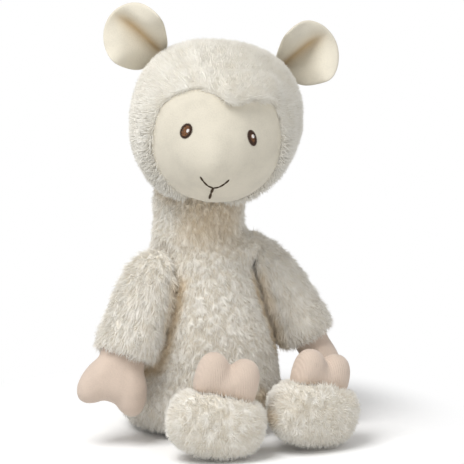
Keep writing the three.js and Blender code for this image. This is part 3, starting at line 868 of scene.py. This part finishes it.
def outside_face(places):
    """How far each place lies outside the face's opening; below zero inside it, under the fringe"""
    aside, above = face_place(places)
    brow = ease(above, *BROW)
    outwards = distance_to("face_panel", places)
    inwards = distance_to("head_hood", places) * (1 - ease(outwards, *OPENING_EDGE)) * brow
    raised = FRINGE_RISE * ease(aside, *FRINGE_SWEEP) * (1 - ease(aside, *FRINGE_OUTER)) * brow
    return outwards - inwards + fringe_share(places) * FRINGE_DROP - raised


class LLAMA_OT_hood(bpy.types.Operator):
    """Makes the hood of fine short pile round the face"""

    bl_idname = "llama.hood"
    bl_label = "Hood"

    def execute(self, context):
        fur = settings(context, "llama_pile")
        nodes = ("head_hood", "face_panel", "head_stuffing")
        material = fur_material("fine_fur", fur.hood_root, fur.hood_tip, fur.shade)
        coat = skin_of("hood_coat", nodes, material, voxel=4 * MM, passes=12, depth=fur.depth, cap=2 * MM)
        places, normals = points_of(coat.data), normals_of(coat.data)
        outer = places + normals * fur.depth
        gap = outside_face(outer)
        aside, above = face_place(places)
        beside = 1 - ease(above, *BESIDE_FACE)
        round_face = np.arctan2(above, aside)
        gathers = np.cos(round_face * GATHERS + GATHER_WANDER * np.sin(round_face * GATHER_WAVES))
        gathers *= (1 - ease(gap, *GATHER_SPAN)) * beside
        lift = HOOD_ROLL + gathers * GATHER_HEIGHT + fringe_share(outer) * FRINGE_OUT
        lift *= ease(gap, *ROLL_INNER) * (1 - ease(gap, *ROLL_OUTER))
        under = 1 - ease(gap, *HOOD_UNDER)
        places += normals * (lift - under * HOOD_TUCK)[:, None]
        move_points(coat.data, places)
        neck = np.array(joint("head_nod")["pos_m"])
        cover = ease(gap, *HOOD_COVER) * ease(np.linalg.norm(places - neck, axis=1), *NECK_HOLE)
        nose = np.array(middle_of("face_panel"))
        comb = tangent(places - nose, normals) + HOOD_DROOP
        long = fur.hood * (1 + EDGE_LONGER * (1 - ease(gap, *EDGE_SPAN)) * beside)
        grow_pile(coat, seeded(HOOD_PILE, fur.seed), material, cover, long, comb)
        fit(coat, "head", "hood", "head_hood")
        return {"FINISHED"}


class LLAMA_OT_sleeves(bpy.types.Operator):
    """Makes the two sleeves, their pile combed towards the cuffs"""

    bl_idname = "llama.sleeves"
    bl_label = "Sleeves"

    def execute(self, context):
        fur = settings(context, "llama_pile")
        material = long_fur(fur)
        for index, side in enumerate(SIDES):
            nodes = (f"{side}_arm_fur", f"{side}_arm_stuffing")
            title = f"{side}_sleeve_coat"
            coat = skin_of(title, nodes, material, voxel=3.5 * MM, passes=8, depth=fur.depth, cap=1.5 * MM)
            places, normals = points_of(coat.data), normals_of(coat.data)
            # Nearness to the torso pushes the cloth out by the pile's depth; below the cleft it becomes painted
            # shade
            pressed = nearness_to(places, "torso_fur")
            places += normals * (pressed * fur.depth)[:, None]
            sewn = nearest_on("torso_fur", places) - places
            root = joint(f"{side}_arm_lift")["pos_m"]
            drawn = 1 - ease(np.linalg.norm(sewn, axis=1), *SEAM_SPAN)
            drawn *= ease_from(places[:, 2], root[2], DRAWN_SPAN)
            places += sewn * (SHOULDER_DRAW[side] * drawn)[:, None]
            places[:, 2] += SHOULDER_RISE[side] * drawn
            move_points(coat.data, places)
            reach = middle_of(f"{side}_hand_hoof") - Vector(root)
            comb = np.tile(reach.normalized(), (len(places), 1))
            cover = ease(distance_to(f"{side}_hand_hoof", places), *CUFF_COVER)
            # Painted shade in the crease between sleeve and torso
            pressed *= SLEEVE_PAINTED_SHADE * (1 - above_cleft(side, places))
            pile = seeded(SLEEVE_PILE, fur.seed + index)
            grow_pile(coat, pile, material, cover, fur.sleeve, comb, pressed)
            fit(coat, f"{side}_arm", "fur", f"{side}_arm_fur")
        return {"FINISHED"}


class LLAMA_OT_legs(bpy.types.Operator):
    """Makes the two legs with their upturned fluffy feet"""

    bl_idname = "llama.legs"
    bl_label = "Legs"

    def execute(self, context):
        fur = settings(context, "llama_pile")
        material = long_fur(fur)
        for index, side in enumerate(SIDES):
            nodes = (f"{side}_leg_fur", f"{side}_leg_stuffing", f"{side}_heel_pellet_bag")
            title = f"{side}_leg_coat"
            coat = skin_of(title, nodes, material, voxel=3.5 * MM, passes=8, depth=fur.depth, cap=1.5 * MM)
            places, normals = points_of(coat.data), normals_of(coat.data)
            low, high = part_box(f"{side}_leg_fur")
            toes = middle_of(f"{side}_toe_hoof")
            foot = 1 - ease_from(places[:, 1], toes.y, FOOT_SPAN)
            places[:, 0] += (places[:, 0] - toes.x) * FOOT_WIDENING * foot
            move_points(coat.data, places)
            heart = np.array(((low.x + high.x) / 2, low.y, low.z + (high.z - low.z) * FOOT_HEART))
            comb = tangent(places - heart, normals) + FOOT_DROOP
            cover = ease(distance_to(f"{side}_toe_hoof", places), *CUFF_COVER)
            cover *= ease(places[:, 2] + fur.depth * normals[:, 2], *SOLE_COVER)
            # Painted shade where the leg lies near the torso and near the other leg
            pressed = nearness_to(places, "torso_fur", f"{SIDES[1 - index]}_leg_fur")
            pile = seeded(LEG_PILE, fur.seed + index)
            grow_pile(coat, pile, material, cover, fur.foot, comb, pressed)
            fit(coat, f"{side}_leg", "fur", f"{side}_leg_fur")
        return {"FINISHED"}


class LLAMA_OT_tail(bpy.types.Operator):
    """Makes the short tail"""

    bl_idname = "llama.tail"
    bl_label = "Tail"

    def execute(self, context):
        fur = settings(context, "llama_pile")
        material = long_fur(fur)
        coat = skin_of(
            "tail_coat", ("tail_fur",), material, voxel=2 * MM, passes=4, depth=fur.depth, cap=1 * MM
        )
        places = points_of(coat.data)
        reach = middle_of("tail_fur") - Vector(joint("tail_lift")["pos_m"])
        comb = np.tile(reach.normalized(), (len(places), 1))
        cover = np.ones(len(places))
        grow_pile(coat, seeded(TAIL_PILE, fur.seed), material, cover, fur.tail, comb)
        fit(coat, "tail", "fur", "tail_fur")
        return {"FINISHED"}


class LLAMA_OT_face(bpy.types.Operator):
    """Makes the velour face, its edge tucked under the hood"""

    bl_idname = "llama.face"
    bl_label = "Face"

    def execute(self, context):
        cloth = settings(context, "llama_velour")
        cover = merged_copy("face_cover", "head_hood", "face_panel", "head_stuffing")
        round_form(cover, voxel=3 * MM, passes=24, offset=0.6 * MM)
        stuff(cover, cap=1 * MM)
        subdivided(cover)
        places, normals = points_of(cover.data), normals_of(cover.data)
        gap = outside_face(places) - FACE_LAP * fringe_share(places)
        edge = 1 - ease(distance_to("head_hood", places), *FACE_EDGE)
        tuck = ease(gap, *FACE_TUCK)
        move_points(cover.data, places - normals * (edge * FACE_SEAM + tuck * FACE_TUCK_DEPTH)[:, None])
        form = bmesh.new()
        form.from_mesh(cover.data)
        form.verts.ensure_lookup_table()
        outside = [vert for vert, far in zip(form.verts, gap) if far > FACE_TUCK[1]]
        bmesh.ops.delete(form, geom=outside, context="VERTS")
        forward = face_axes()[1]
        behind = [face for face in form.faces if face.normal.dot(forward) < 0]
        bmesh.ops.delete(form, geom=behind, context="FACES")
        form.to_mesh(cover.data)
        form.free()
        wall = cover.modifiers.new("Cloth", "SOLIDIFY")
        wall.thickness = cloth.face_wall
        wall.offset = -1
        apply_modifiers(cover)
        cover.data.shade_smooth()
        wear(cover, velour_material("face_velour", cloth.face, cloth.nap))
        fit(cover, "head", "velour", "face_panel")
        return {"FINISHED"}


def face_axes():
    """The face's own X (to the toy's left), forward and up"""
    right, left, mouth = (middle_of(node) for node in ("right_eye", "left_eye", "mouth_stitching"))
    across = (left - right).normalized()
    up = ((left + right) / 2 - mouth).normalized()
    forward = across.cross(up).normalized()
    return across, forward, forward.cross(across)


def seat_on(cover, place, forward):
    """The point of a cover in front of a place, and the way it faces"""
    hit, normal, _, _ = tree_of(cover).ray_cast(place + forward * SEAT_SEARCH, -forward)
    if hit is None:
        raise RuntimeError(f"nothing of {cover.name} lies at {place}")
    return hit, normal


def stitch(form, start, end, radius):
    """One stitch of thread: a closed spindle from start to end"""
    along = end - start
    turn = along.to_track_quat("X", "Z").to_matrix().to_4x4()
    size = Matrix.Diagonal((along.length / 2 + radius * 0.6, radius, radius, 1))
    bmesh.ops.create_icosphere(
        form, subdivisions=2, radius=1, matrix=Matrix.Translation((start + end) / 2) @ turn @ size
    )


def main_axes(node):
    """A node's middle, and its directions and half sizes from the longest to the shortest"""
    places = points_of(frame["nodes"][node].data)
    middle = (places.min(0) + places.max(0)) / 2
    _, _, rows = np.linalg.svd(places - places.mean(0), full_matrices=False)
    halves = [np.ptp(places @ row) / 2 for row in rows]
    return Vector(middle), [Vector(row) for row in rows], halves


class LLAMA_OT_eyes(bpy.types.Operator):
    """Embroiders the eyes: a dark satin rim, a brown iris and a white glint"""

    bl_idname = "llama.eyes"
    bl_label = "Eyes"

    def execute(self, context):
        cloth = settings(context, "llama_velour")
        dark = thread_material("dark_thread", cloth.dark_thread, 0.5 * MM)
        iris = thread_material("iris_thread", cloth.iris_thread, 1.2 * MM)
        white = thread_material("white_thread", cloth.white_thread, 0.5 * MM)
        face = bpy.data.objects["face_cover"]
        forward = face_axes()[1]
        for side in SIDES:
            node = f"{side}_eye"
            middle, axes, halves = main_axes(node)
            seat, normal = seat_on(face, middle, forward)
            tall = axes[0] if axes[0].z > 0 else -axes[0]
            tall = (tall - normal * tall.dot(normal)).normalized()
            wide = tall.cross(normal)
            self.embroider(side, seat, normal, tall, wide, halves, (dark, iris))
            self.glint(side, seat, normal, tall, wide, white)
        return {"FINISHED"}

    def embroider(self, side, seat, normal, tall, wide, halves, materials):
        high, broad = halves[0], halves[1] * EYE_WIDENING[side]
        inner = IRIS_SHARE[side]
        form = bmesh.new()
        for index in range(RIM_STITCHES):
            angle = 2 * math.pi * index / RIM_STITCHES
            out = wide * math.cos(angle) * broad + tall * math.sin(angle) * high
            lift = normal * RIM_LIFT
            stitch(form, seat + out * inner + lift, seat + out * RIM_REACH + lift * 0.2, RIM_THREAD)
        rim_faces = len(form.faces)
        for index in range(IRIS_ROWS):
            level = (index + 0.5) / IRIS_ROWS * 2 - 1
            reach = broad * (inner + 0.1) * math.sqrt(1 - (level * RIM_REACH) ** 2)
            row = seat + tall * level * high * (inner + 0.08) + normal * IRIS_LIFT
            slope = tall * IRIS_SLOPE * (-1) ** index
            stitch(form, row - wide * reach - slope, row + wide * reach + slope, IRIS_THREAD)
        for face in form.faces[rim_faces:]:
            face.material_index = 1
        eye = new_piece(f"{side}_eye_threads", form)
        for material in materials:
            eye.data.materials.append(material)
        eye.data.shade_smooth()
        fit(eye, "head", "dark_thread", f"{side}_eye")

    def glint(self, side, seat, normal, tall, wide, material):
        form = bmesh.new()
        middle, _, _ = main_axes(f"{side}_eye_glint")
        offset = middle - seat
        spot = seat + tall * offset.dot(tall) + wide * offset.dot(wide) + normal * GLINT_LIFT
        for level, reach in GLINT_ROWS:
            row = spot + tall * level
            stitch(form, row - wide * reach, row + wide * reach, GLINT_THREAD)
        piece = new_piece(f"{side}_glint_threads", form)
        wear(piece, material)
        piece.data.shade_smooth()
        fit(piece, "head", "white_thread", f"{side}_eye_glint")


class LLAMA_OT_mouth(bpy.types.Operator):
    """Stitches the mouth: a wide V with a short stem below it"""

    bl_idname = "llama.mouth"
    bl_label = "Mouth"

    def execute(self, context):
        face = bpy.data.objects["face_cover"]
        across, forward, up = face_axes()
        places = points_of(frame["nodes"]["mouth_stitching"].data)
        middle = Vector(places.mean(0))
        level = (places - np.array(middle)) @ np.array(up)
        aside = (places - np.array(middle)) @ np.array(across)
        half = np.ptp(aside) / 2
        centre = middle + across * (aside.max() + aside.min()) / 2
        top, bottom = level.max(), level.min()
        join = bottom + (top - bottom) * MOUTH_JOIN
        arm = [(x, top * share + join * (1 - share)) for x, share in SMILE]
        smile = arm + [(-x, z) for x, z in reversed(arm[:-1])]
        stem = list(zip(STEM_LEAN, (join, (join + bottom) / 2, bottom * STEM_LONGER)))
        form = bmesh.new()
        for path, radius in ((smile, SMILE_THREAD), (stem, STEM_THREAD)):
            spots = [seat_on(face, centre + across * x * half + up * z, forward)[0] for x, z in path]
            for start, end in zip(spots, spots[1:]):
                stitch(form, start, end, radius)
        mouth = new_piece("mouth_threads", form)
        wear(mouth, bpy.data.materials["dark_thread"])
        mouth.data.shade_smooth()
        fit(mouth, "head", "dark_thread", "mouth_stitching")
        return {"FINISHED"}


def crease(cover, side):
    """Presses the fold into an ear, from its root to past its middle, and sinks its root in the pile"""
    seam = joint(f"{side}_ear_fold")
    root = np.array(seam["pos_m"])
    across = np.array(seam["axis"]) * math.copysign(1, seam["axis"][2])
    tip = np.array(middle_of(f"{side}_ear_lining")) - root
    tip -= across * tip.dot(across)
    reach = np.linalg.norm(tip) * 2
    tip /= np.linalg.norm(tip)
    back = np.array(middle_of(f"{side}_ear_back") - middle_of(f"{side}_ear_lining"))
    places = points_of(cover.data)
    along = (places - root) @ tip
    offset = (places - root) @ across
    line = EAR_CREASE_OFFSET + EAR_CREASE_SLANT * along - EAR_CREASE_BEND * along * along
    aside = (offset - line) / EAR_CREASE_WIDTH
    share = along / reach
    depth = EAR_CREASE_DEPTH * np.exp(-np.abs(aside) ** EAR_CREASE_SHARPNESS)
    depth *= ease(share, *EAR_CREASE_START) * (1 - ease(share, *EAR_CREASE_END))
    rolled = EAR_ROLL * np.exp(-((aside - EAR_ROLL_ASIDE) ** 2) / 2)
    rolled *= ease(share, *EAR_ROLL_START) * (1 - ease(share, *EAR_ROLL_END))
    base = 1 - ease(share, *EAR_BASE)
    moved = back / np.linalg.norm(back) * (depth - rolled)[:, None] - tip * (EAR_SINK * base)[:, None]
    spread = np.where(offset > 0, -EAR_BASE_NARROWING, EAR_BASE_WIDENING)
    moved += across * (offset * spread * base)[:, None]
    move_points(cover.data, places + moved)
    # Painted shade in the fold, as strong as the fold is deep
    put_attribute(cover.data, PAINTED_SHADE, "FLOAT", depth / EAR_CREASE_DEPTH)
class LLAMA_OT_ears(bpy.types.Operator):
    """Makes the cupped velour ears, a back and a lining each"""

    bl_idname = "llama.ears"
    bl_label = "Ears"

    def execute(self, context):
        cloth = settings(context, "llama_velour")
        material = velour_material("ear_velour", cloth.ear, cloth.nap, fold=cloth.ear_fold)
        for side in SIDES:
            for layer in ("back", "lining"):
                node = f"{side}_ear_{layer}"
                cover = merged_copy(f"{node}_cover", node)
                rounded_quads(cover)
                crease(cover, side)
                cover.data.shade_smooth()
                wear(cover, material)
                fit(cover, f"{side}_ear", "velour", node)
        return {"FINISHED"}


class LLAMA_OT_hoofs(bpy.types.Operator):
    """Makes the cloven velour hands and the pairs of toes"""

    bl_idname = "llama.hoofs"
    bl_label = "Hoofs"

    def execute(self, context):
        cloth = settings(context, "llama_velour")
        plain = velour_material("hoof_velour", cloth.hoof, cloth.nap)
        ribbed = velour_material("toe_velour", cloth.hoof, cloth.nap, ribs=1.5 * MM)
        for side in SIDES:
            for part, limb, material, passes in (("hand", "arm", plain, 16), ("toe", "leg", ribbed, 30)):
                node = f"{side}_{part}_hoof"
                cover = merged_copy(f"{side}_{part}_cover", node)
                round_form(cover, voxel=1.6 * MM, passes=passes, offset=0.6 * MM)
                stuff(cover, cap=0.8 * MM)
                subdivided(cover)
                cover.data.shade_smooth()
                wear(cover, material)
                fit(cover, f"{side}_{limb}", "hoof", node)
        return {"FINISHED"}


class LLAMA_OT_filling(bpy.types.Operator):
    """Makes the fibre wads and pellet bags inside"""

    bl_idname = "llama.filling"
    bl_label = "Filling"

    def execute(self, context):
        cloth = settings(context, "llama_velour")
        looks = {
            "fibre": filling_material("fibre", cloth.fibre, 3 * MM),
            "pellet_bag": filling_material("bag_cotton", cloth.bag, 2 * MM),
        }
        bodies = frame["record"]["behaviour"]["bodies"]
        for part in frame["record"]["subparts"]:
            slot, node = part["material_slot"], part["node"]
            if slot not in looks:
                continue
            body = next(name for name, nodes in bodies.items() if node in nodes)
            wad = merged_copy(f"{node}_wad", node)
            round_form(wad, voxel=4 * MM, passes=4, offset=-0.3 * MM)
            wad.data.shade_smooth()
            wear(wad, looks[slot])
            fit(wad, body, slot, node)
        return {"FINISHED"}


def towards(azimuth, elevation):
    """Unit vector from the object to a viewer at these angles"""
    around, above = math.radians(azimuth), math.radians(elevation)
    return Vector((math.sin(around) * math.cos(above), -math.cos(around) * math.cos(above), math.sin(above)))


def aim(thing, place, target):
    thing.location = place
    thing.rotation_euler = (target - place).to_track_quat("-Z", "Y").to_euler()
    bpy.context.scene.collection.objects.link(thing)


class LLAMA_OT_stage(bpy.types.Operator):
    """Sets the floor, the sky, the lamps and the camera"""

    bl_idname = "llama.stage"
    bl_label = "Stage"

    def execute(self, context):
        stage = settings(context, "llama_stage")
        context.scene.view_settings.view_transform = "Standard"
        self.floor()
        self.sky(context, stage.sky)
        target = Vector(stage.target)
        key = towards(*KEY_ANGLES) * KEY_DISTANCE + target
        self.lamp("key_lamp", key, target, stage.key, KEY_SIZE)
        fill = towards(*FILL_ANGLES) * FILL_DISTANCE + target
        self.lamp("fill_lamp", fill, target, stage.fill, FILL_SIZE)
        camera = bpy.data.objects.new("camera", bpy.data.cameras.new("camera"))
        camera.data.lens = stage.lens
        camera.data.sensor_width = SENSOR_WIDTH
        aim(camera, target + towards(stage.azimuth, stage.elevation) * stage.distance, target)
        context.scene.camera = camera
        return {"FINISHED"}

    def floor(self):
        """A white sweep: lit and shaded near the toy, plain white further off"""
        form = bmesh.new()
        bmesh.ops.create_grid(form, x_segments=1, y_segments=1, size=FLOOR_SIZE)
        floor = new_piece("floor", form)
        material = bpy.data.materials.new("sweep")
        material.use_nodes = True
        tree = material.node_tree
        tree.nodes.clear()
        path = add_node(tree, "ShaderNodeLightPath").outputs
        seen = path["Is Camera Ray"]
        for ray in ("Is Glossy Ray", "Is Transmission Ray"):
            either = {0: seen, 1: path[ray]}
            seen = add_node(tree, "ShaderNodeMath", {"operation": "MAXIMUM"}, either).outputs[0]
        matt = add_node(tree, "ShaderNodeBsdfDiffuse", inputs={"Color": FLOOR_MATT}).outputs[0]
        near = add_node(tree, "ShaderNodeBsdfDiffuse", inputs={"Color": FLOOR_NEAR}).outputs[0]
        white = add_node(tree, "ShaderNodeEmission", inputs={"Strength": 1.0}).outputs[0]
        reach = add_node(tree, "ShaderNodeVectorMath", {"operation": "LENGTH"}, {0: own_place(tree)})
        away = add_node(
            tree,
            "ShaderNodeMapRange",
            {"interpolation_type": "SMOOTHSTEP"},
            {
                "Value": reach.outputs["Value"],
                "From Min": FLOOR_FADE[0],
                "From Max": FLOOR_FADE[1],
                "To Min": 0.0,
                "To Max": 1.0,
            },
        ).outputs["Result"]
        bright = add_node(tree, "ShaderNodeMixShader", inputs={0: away, 1: near, 2: white}).outputs[0]
        mixed = add_node(tree, "ShaderNodeMixShader", inputs={0: seen, 1: matt, 2: bright}).outputs[0]
        add_node(tree, "ShaderNodeOutputMaterial", inputs={"Surface": mixed})
        wear(floor, material)

    def sky(self, context, strength):
        world = bpy.data.worlds.new("studio")
        context.scene.world = world
        world.use_nodes = True
        tree = world.node_tree
        tree.nodes.clear()
        path = add_node(tree, "ShaderNodeLightPath").outputs
        light = add_node(tree, "ShaderNodeBackground", inputs={"Strength": strength}).outputs[0]
        white = add_node(tree, "ShaderNodeBackground", inputs={"Strength": 1.0}).outputs[0]
        for socket in (light, white):
            socket.node.inputs["Color"].default_value = (1, 1, 1, 1)
        mixed = add_node(tree, "ShaderNodeMixShader", inputs={0: path["Is Camera Ray"], 1: light, 2: white})
        add_node(tree, "ShaderNodeOutputWorld", inputs={"Surface": mixed.outputs[0]})

    def lamp(self, title, place, target, power, size):
        light = bpy.data.lights.new(title, "AREA")
        light.energy = power
        light.size = size
        aim(bpy.data.objects.new(title, light), place, target)


class LLAMA_PT_sidebar(bpy.types.Panel):
    """Shows the llama's settings and the buttons that make its pieces in the sidebar"""

    bl_idname = "LLAMA_PT_sidebar"
    bl_label = "Plush Llama"
    bl_space_type = "VIEW_3D"
    bl_region_type = "UI"
    bl_category = "Plush"

    def draw(self, context):
        for group in GROUPS:
            box = self.layout.box()
            for name in GROUPS[group].__annotations__:
                box.prop(settings(context, group), name)
        for operator in OPERATORS:
            self.layout.operator(operator.bl_idname)


GROUPS = {"llama_pile": LlamaPile, "llama_velour": LlamaVelour, "llama_stage": LlamaStage}
OPERATORS = (
    LLAMA_OT_stage,
    LLAMA_OT_torso,
    LLAMA_OT_hood,
    LLAMA_OT_face,
    LLAMA_OT_eyes,
    LLAMA_OT_mouth,
    LLAMA_OT_ears,
    LLAMA_OT_sleeves,
    LLAMA_OT_legs,
    LLAMA_OT_hoofs,
    LLAMA_OT_tail,
    LLAMA_OT_filling,
)
CLASSES = (*GROUPS.values(), *OPERATORS, LLAMA_PT_sidebar)


def register():
    for made in CLASSES:
        bpy.utils.register_class(made)
    for name, group in GROUPS.items():
        setattr(bpy.types.Scene, name, PointerProperty(type=group))


def unregister():
    for name in GROUPS:
        delattr(bpy.types.Scene, name)
    for made in reversed(CLASSES):
        bpy.utils.unregister_class(made)


def main():
    register()
    for operator in OPERATORS:
        family, name = operator.bl_idname.split(".")
        getattr(getattr(bpy.ops, family), name)()


if __name__ == "__main__":
    main()
